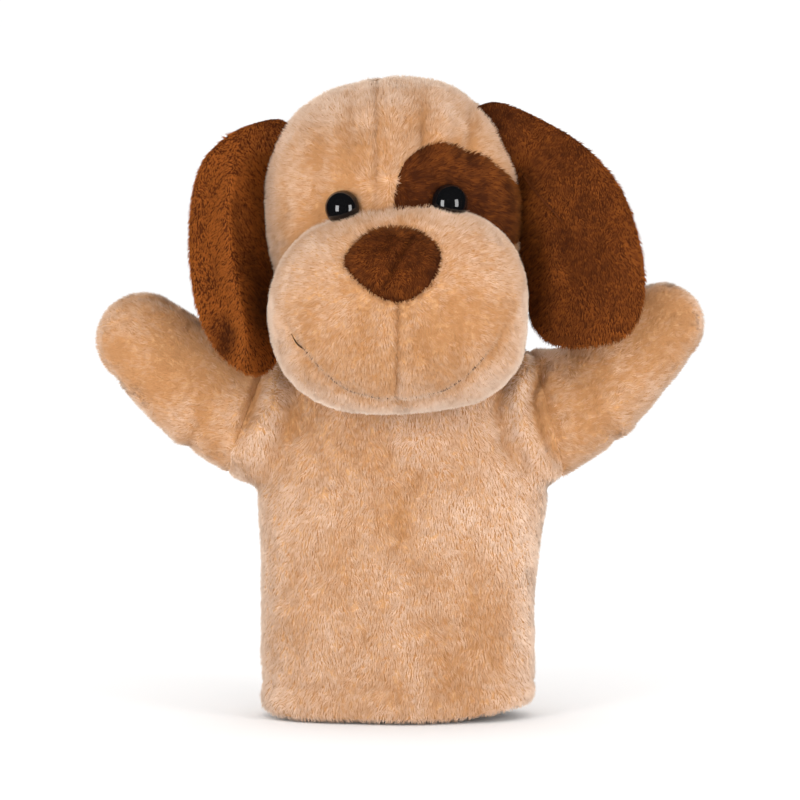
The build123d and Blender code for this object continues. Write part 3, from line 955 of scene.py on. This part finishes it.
def off_neck(p, n):
    return (p[:, 2] < NECK[2] + 9) | (np.linalg.norm(p - NECK, axis=1) > 28)


for k, (panel, side_faces) in enumerate((("body_front", mid[:, 1] < 0), ("body_back", mid[:, 1] >= 0))):
    skin(panel, body_v, body_f[side_faces], "tan", ride_body, [f"{panel}_panel"],
         soft=lambda ob: ob,
         pile=dict(comb=down_and_under, seed=300 + 10 * k, keep=off_neck, length=2.3, lift=0.72,
                   relief=body_relief, shade_bias=body_tone_and_painted_sheen))

# the hem's turned-in facing
FACING_ROWS, FACING_INSET, FACING_THICKNESS = 21, 2.5, 1.1
facing = body_v[:(ROLL_ROWS + FACING_ROWS) * COLS].reshape(-1, COLS, 3)[2:]
inner = facing - unit(facing * [1, 1, 0]) * FACING_INSET
facing_v, facing_f = thicken(inner.reshape(-1, 3), quads(len(facing), COLS), FACING_THICKNESS)
hem = make_object("hem_turning", facing_v, facing_f, tan_ground)
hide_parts("hem_facing")
ride_body(hem)

# the two rings of cloth that turn about the neck, under the head's edge
NECK_RINGS = [               # name, CAD node, CAD body, radius, cone angles
    ("neck_inner_ring", "neck_gusset", "neck_turning", 27.5, 42, 84),
    ("neck_outer_ring", "neck_band", "neck_nodding", 29.1, 42, 72)]
RING_ROWS, RING_COLS = 14, 160
for k, (name, node, cad_body, radius, low, high) in enumerate(NECK_RINGS):
    polar = np.repeat(np.radians(np.linspace(high, low, RING_ROWS)), RING_COLS)
    turn = np.tile(np.linspace(0, 2 * math.pi, RING_COLS, endpoint=False), RING_ROWS)
    out = np.stack([np.sin(polar) * np.cos(turn), np.sin(polar) * np.sin(turn), np.cos(polar)], 1)
    round_it = 2 * math.pi * radius * math.sin(math.radians((low + high) / 2)) * MM
    up_it = radius * math.radians(high - low) * MM
    skin(name, NECK + out * radius, quads(RING_ROWS, RING_COLS), "tan",
         lambda ob, cad_body=cad_body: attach(ob, cad_body), [node], thickness=1.1,
         soft=lambda ob, flat=(round_it, up_it): ob,
         pile=dict(comb=down, seed=380 + 10 * k, length=1.8, shade_bias=0.12))

# ---- arms ------------------------------------------------------------------
for j, (side, a) in enumerate(ARMS.items()):
    plain_a, arm_v = a["plain"], a["skin"]
    arm_f = quads(ARM_ROWS + 1 + CAP_ROWS, ARM_COLS)
    # the last ring is replaced by a fan about its centre
    arm_f = arm_f[:-ARM_COLS]
    hole = (ARM_ROWS + CAP_ROWS - 1) * ARM_COLS
    tip = len(arm_v)
    arm_v = np.concatenate([arm_v, arm_v[-ARM_COLS:].mean(0)[None]])
    plain_a = np.concatenate([plain_a, plain_a[-1:]])
    caps = np.array([[hole + c, hole + (c + 1) % ARM_COLS, tip, tip] for c in range(ARM_COLS)])
    arm_f = np.concatenate([arm_f, caps])
    outward = ((arm_v[arm_f[0, 0]] - a["shoulder"]) @ np.cross(
        arm_v[arm_f[0, 1]] - arm_v[arm_f[0, 0]], arm_v[arm_f[0, 2]] - arm_v[arm_f[0, 0]])) > 0
    if not outward:
        arm_f = arm_f[:, ::-1]
    mid = plain_a[arm_f].mean(1)
    split = a["shoulder"][1] + 4.0
    start, end = a["seam"], a["seam"] + a["normal"] * ARM_BEND

    def place_arm(ob, side=side, start=start, end=end):
        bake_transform(ob)

    def out_along(p, n, a=a):
        return np.tile(a["axis"] * 0.8 + np.array([0, 0, -0.35]), (len(p), 1))

    for k, (face, keep) in enumerate((("front", mid[:, 1] < split), ("back", mid[:, 1] >= split))):
        tri = triangles(arm_f[keep])
        tri = tri[(tri != np.roll(tri, 1, 1)).all(1)]
        skin(f"{side}_arm_{face}", arm_v, tri, "tan", place_arm, [f"{side}_arm_{face}_panel"],
             soft=lambda ob: ob,
             pile=dict(comb=out_along, seed=400 + 40 * j + 10 * k, length=2.3, lift=0.74, relief=body_relief,
                       shade_bias=-0.24 if side == "left" else -0.10))

# ---- ears ------------------------------------------------------------------
EARS = {
    "left": [(-39.0, 226.5), (-46.0, 231.6), (-54.0, 231.0), (-65.0, 226.8), (-75.0, 217.8), (-79.7, 205.6),
             (-81.2, 188.0), (-80.3, 171.4), (-76.8, 156.6), (-69.8, 144.0), (-61.0, 137.2), (-53.0, 135.6),
             (-46.6, 141.5), (-45.0, 156.0), (-45.6, 172.0), (-46.0, 200.0), (-41.0, 217.0)],
    "right": [(28.0, 233.0), (34.5, 238.4), (45.2, 236.2), (64.4, 226.8), (76.2, 217.4), (85.4, 205.4),
              (91.2, 190.2), (94.2, 173.0), (92.4, 158.6), (85.4, 149.8), (70.0, 146.4), (58.0, 147.8),
              (51.0, 154.5), (48.4, 166.0), (45.6, 180.0), (44.0, 196.8), (38.0, 219.9)],
}
EAR_COLS, EAR_ROWS = 220, 46


def ear_fold(z):
    """x of the standing fold down the left ear."""
    return np.interp(z, [144, 154, 167, 182, 199, 215], [-59, -59.6, -62.5, -65.2, -67.2, -64.4])


def ear_sheet(side, x, z, rho):
    """y of the ear's middle surface."""
    hinge = pivot(f"{side}_ear_lift")
    y = hinge[1] - (hinge[2] - z) * math.tan(math.radians(15.6))
    if side == "left":
        ridge = ear_fold(z)
        tall = ramp(z, 138, 156) * ramp(226 - z, 0, 16)
        y = y - 4.6 * bell(x - ridge, 3.6) * tall
        y = y + 3.0 * ramp(x - ridge, 2, 12) * tall
        y = y + 1.5 * bell(x + 73, 5.5) * ramp(z, 150, 175) * ramp(220 - z, 0, 20)
        y = y + 3.2 * bell(np.hypot((x + 65), (z - 147) * 0.6), 5.0)
    else:
        y = y - 2.2 * (1 - rho ** 2)
        y = y + 1.6 * bell((x - 62) + (z - 190) * 0.25, 6.0) * ramp(z, 160, 180)
        y = y - 1.2 * bell(x - 84, 6.0) * ramp(z, 165, 185)
    # the inner edge lies back against the side of the head, and the root at its seam
    near = ramp(34 - np.hypot(x - hinge[0], z - hinge[2]), 0, 34)
    inner = ramp(60 - np.abs(x + 1), 0, 14) * ramp(225 - z, 0, 20)
    return y + 4.0 * near + 11.0 * inner


def left_ear_painted_light(p):
    """Painted light and shade: paler on the lobe beyond the fold and at the lower end, where the light falls,
    a painted highlight along the fold's edge, and painted shade in the hollow low down and between the fold
    and the head.
    """
    x, z = p[:, 0], p[:, 2]
    tall = ramp(z, 140, 152) * ramp(226 - z, 0, 16)
    outside = ramp(ear_fold(z) - x, -2.5, 1.5)
    low = ramp(160 - z, 0, 16) * ramp(x, -66, -61)
    # painted shadow in the hollow and painted highlight along the fold
    dent_shadow = bell(np.hypot(x + 67, (z - 149) * 0.6), 7.0)
    crest_highlight = bell(x - ear_fold(z) + 1.0, 2.4) * tall
    return 0.13 + 0.44 * np.maximum(outside, low) + 0.32 * crest_highlight - 0.6 * dent_shadow


for j, (side, outline) in enumerate(EARS.items()):
    sign = -1 if side == "left" else 1
    loop = smooth_loop(outline, EAR_COLS)
    hub = loop.mean(0)
    hinge = pivot(f"{side}_ear_lift")
    start = hinge + vec(sign * 3, 0, -2)
    end = hinge + vec(sign * 16, 0, -16)

    def place_ear(ob, side=side, start=start, end=end):
        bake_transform(ob)

    for k, face in enumerate(("front", "back")):
        rows = []
        for i in range(EAR_ROWS):
            rho = 1 - (i / (EAR_ROWS - 1)) ** 1.25
            rho = max(rho, 0.012)
            xz = hub + (loop - hub) * rho
            x, z = xz.T
            puff = 2.9 * (1 - rho ** 5) ** 0.5
            puff = puff + 0.3 * noise(np.stack([x, 0 * x + k * 50, z], 1), 12, 21)
            y = ear_sheet(side, x, z, rho) + (-puff if face == "front" else puff)
            rows.append(np.stack([x, y, z], 1))
        v = np.concatenate(rows + [rows[-1].mean(0)[None]])
        tri = triangles(quads(EAR_ROWS, EAR_COLS))
        last = (EAR_ROWS - 1) * EAR_COLS
        fan = np.array([[last + c, last + (c + 1) % EAR_COLS, len(v) - 1] for c in range(EAR_COLS)])
        tri = np.concatenate([tri, fan])
        want = -1 if face == "front" else 1
        if np.sign(np.cross(v[tri[:, 1]] - v[tri[:, 0]], v[tri[:, 2]] - v[tri[:, 0]])[:, 1].sum()) != want:
            tri = tri[:, ::-1]
        skin(f"{side}_ear_{face}", v, tri, "brown", place_ear, [f"{side}_ear_{face}_panel"], thickness=1.4,
             soft=lambda ob: ob,
             pile=dict(comb=down, seed=600 + 40 * j + 10 * k, length=1.9, lift=0.72,
                       # the left ear's steps are painted light and shade; both ears get painted sheen at
                       # their sides
                       shade_bias=left_ear_painted_light if side == "left" else 0.03, edge=0.2))

# ---- carried-over CAD nodes ------------------------------------------------
FINISH = {
    "tan_plush": tan_ground, "brown_plush": brown_ground, "fibre_filling": fibre, "sleeve_cotton": cotton,
    "eye_black": eye_black, "washer_white": washer, "dark_thread": thread_dark, "tan_thread": thread_tan,
}
for entry in frame["record"]["subparts"]:
    ob = frame["nodes"][entry["node"]]
    for slot_ in ob.material_slots:
        slot_.material = FINISH[entry["material_slot"]]

# ---- studio ----------------------------------------------------------------
scene = bpy.context.scene
floor_mat, _, floor_node = principled("floor", (0.93, 0.93, 0.93), 0.8)
floor_node.inputs["Specular IOR Level"].default_value = 0.0
FLOOR_HALF, FLOOR_Z = 4000, -1
floor_v = [(x * FLOOR_HALF, y * FLOOR_HALF, FLOOR_Z) for x, y in ((-1, -1), (1, -1), (1, 1), (-1, 1))]
floor = make_object("floor", np.array(floor_v), [[0, 1, 2, 3]], floor_mat)

world = bpy.data.worlds.new("studio")
world.use_nodes = True
world.node_tree.nodes["Background"].inputs["Color"].default_value = (1, 1, 1, 1)
world.node_tree.nodes["Background"].inputs["Strength"].default_value = 1.08
world.cycles_visibility.glossy = False
floor.visible_glossy = False
scene.world = world


def area_light(name, place, size, power, target=(0, 0, 0.13)):
    data = bpy.data.lights.new(name, "AREA")
    data.shape = "RECTANGLE"
    data.size, data.size_y = size
    data.energy = power
    ob = bpy.data.objects.new(name, data)
    ob.location = place
    ob.rotation_euler = (Vector(target) - Vector(place)).to_track_quat("-Z", "Y").to_euler()
    scene.collection.objects.link(ob)


area_light("key_left", (-0.80, -1.1, 0.22), (0.50, 0.85), 12)
area_light("key_right", (0.95, -0.85, 0.24), (0.45, 0.85), 9)

cam_data = bpy.data.cameras.new("camera")
cam = bpy.data.objects.new("camera", cam_data)
scene.collection.objects.link(cam)
ELEVATION, DISTANCE, WIDTH = math.radians(6), 4.0, 0.3104
target = Vector((0, 0, 0.1224))
back = Vector((0, -math.cos(ELEVATION), math.sin(ELEVATION)))
cam.location = target + back * DISTANCE
cam.rotation_euler = (-back).to_track_quat("-Z", "Y").to_euler()
cam_data.sensor_width = 36
cam_data.lens = 36 * DISTANCE / WIDTH
cam_data.clip_start, cam_data.clip_end = 0.05, 20
scene.camera = cam
scene.view_settings.view_transform = "Standard"
